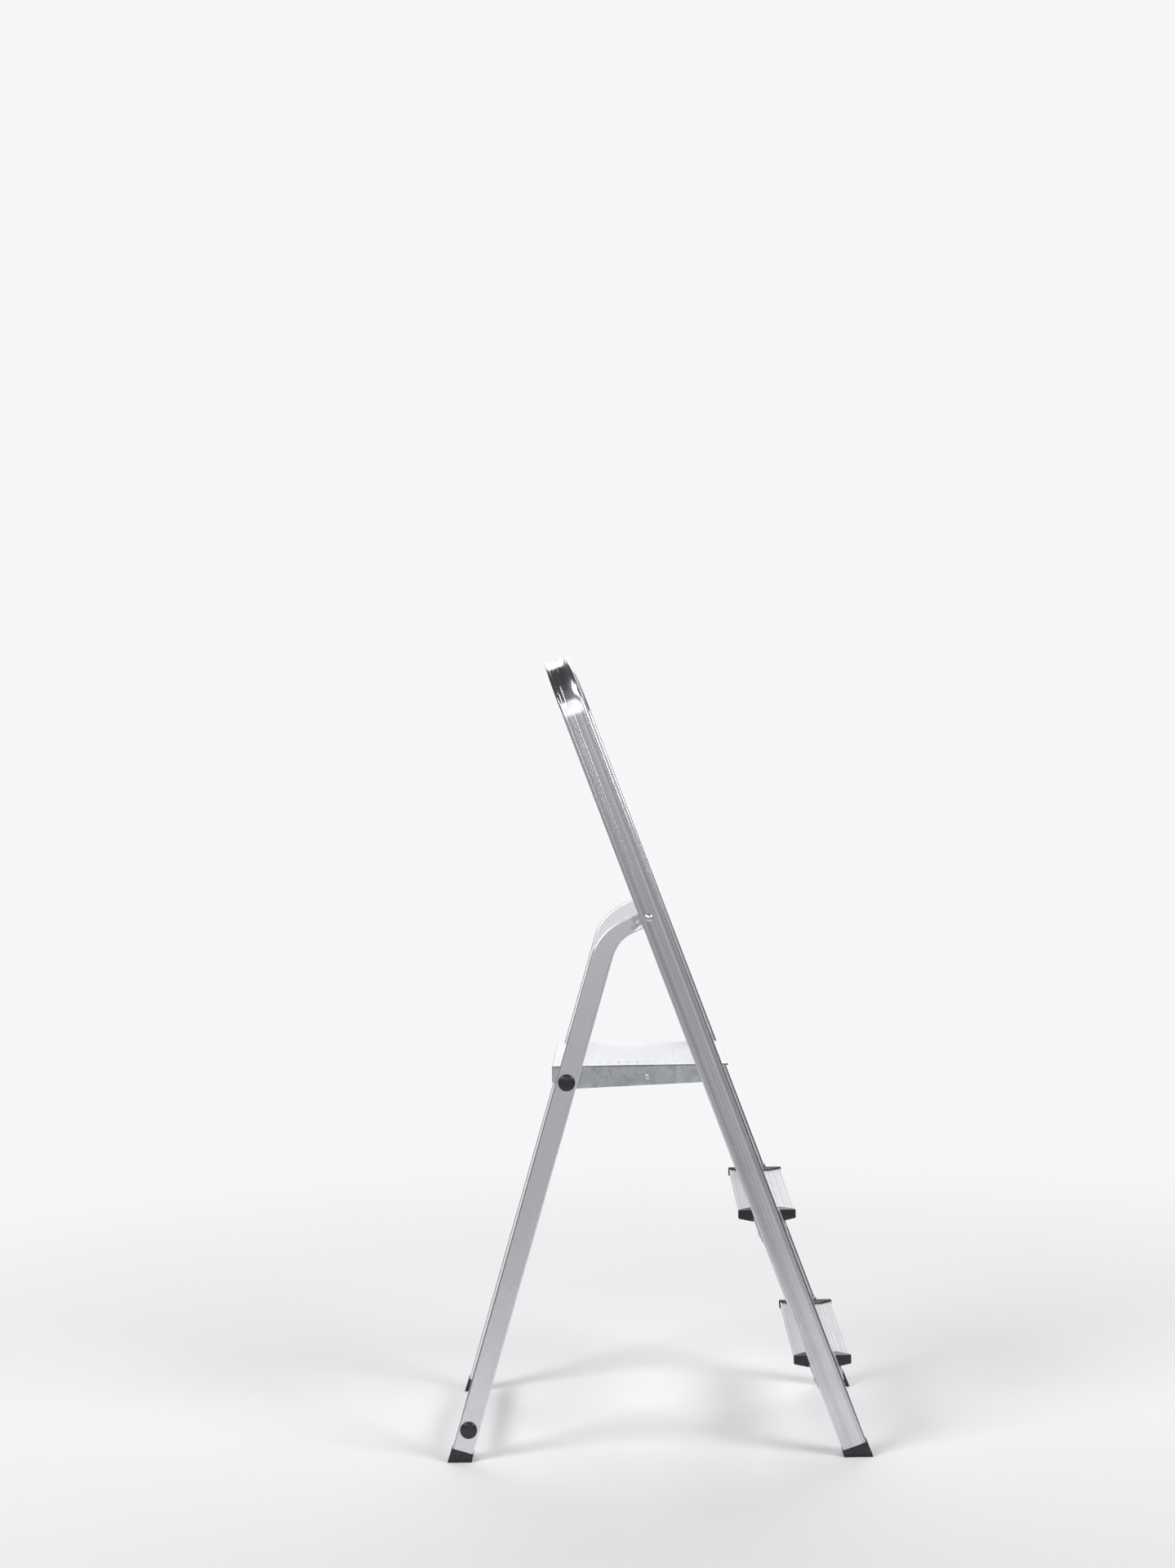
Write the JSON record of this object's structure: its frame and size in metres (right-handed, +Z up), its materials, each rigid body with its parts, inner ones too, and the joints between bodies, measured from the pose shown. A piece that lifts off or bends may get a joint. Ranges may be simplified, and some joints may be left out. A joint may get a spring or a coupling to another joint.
{
  "type": "folding step ladder",
  "caption": "Folding household step ladder with ribbed treads, a sheet-steel platform, a high handrail hoop and a hinged rear frame on plastic feet.",
  "frame": {"origin": "on the floor, in the middle of the footprint", "axes": "+X towards the climbing side, +Y across the ladder to the climber's right, +Z up"},
  "size_m": [0.6756, 0.438, 1.2844],
  "materials": {
    "frame_aluminium": "satin extruded",
    "leg_aluminium": "satin drawn tube",
    "tread_aluminium": "mill, ribbed",
    "galvanised_steel": "galvanised",
    "bracket_steel": "zinc plated",
    "rivet_steel": "plated",
    "black_plastic": "moulded"
  },
  "bodies": {
    "front": {"front_frame": "frame_aluminium", "platform_rest_bar": "bracket_steel", "bracket_rivets": "rivet_steel", "lower_tread": "tread_aluminium", "lower_tread_cap_left": "black_plastic", "lower_bracket_left": "bracket_steel", "lower_tread_cap_right": "black_plastic", "lower_bracket_right": "bracket_steel", "upper_tread": "tread_aluminium", "upper_tread_cap_left": "black_plastic", "upper_bracket_left": "bracket_steel", "upper_tread_cap_right": "black_plastic", "upper_bracket_right": "bracket_steel", "front_foot_left": "black_plastic", "pivot_rivet_left": "rivet_steel", "pivot_washer_left": "black_plastic", "front_foot_right": "black_plastic", "pivot_rivet_right": "rivet_steel", "pivot_washer_right": "black_plastic"},
    "rear": {"upper_cross_tube": "bracket_steel", "lower_cross_tube": "bracket_steel", "lower_tube_plug_left": "black_plastic", "lower_tube_plug_right": "black_plastic", "upper_tube_plug_left": "black_plastic", "upper_tube_plug_right": "black_plastic", "rear_leg_left": "leg_aluminium", "rear_foot_left": "black_plastic", "platform_spacer_left": "black_plastic", "rear_leg_right": "leg_aluminium", "rear_foot_right": "black_plastic", "platform_spacer_right": "black_plastic"},
    "platform": {"platform": "galvanised_steel", "platform_stiffener": "galvanised_steel", "platform_rivets": "rivet_steel", "platform_bush_left": "black_plastic", "platform_bush_right": "black_plastic"}
  },
  "joints": [
    {"name": "rear_frame_fold", "type": "hinge", "parent": "front", "child": "rear", "pos_m": [-0.0022, 0, 0.8626], "axis": [0, -1, 0], "range_deg": [0, 35.5]},
    {"name": "platform_lift", "type": "hinge", "parent": "rear", "child": "platform", "pos_m": [-0.13794, 0, 0.6005], "axis": [0, -1, 0], "range_deg": [0, 73]}
  ]
}
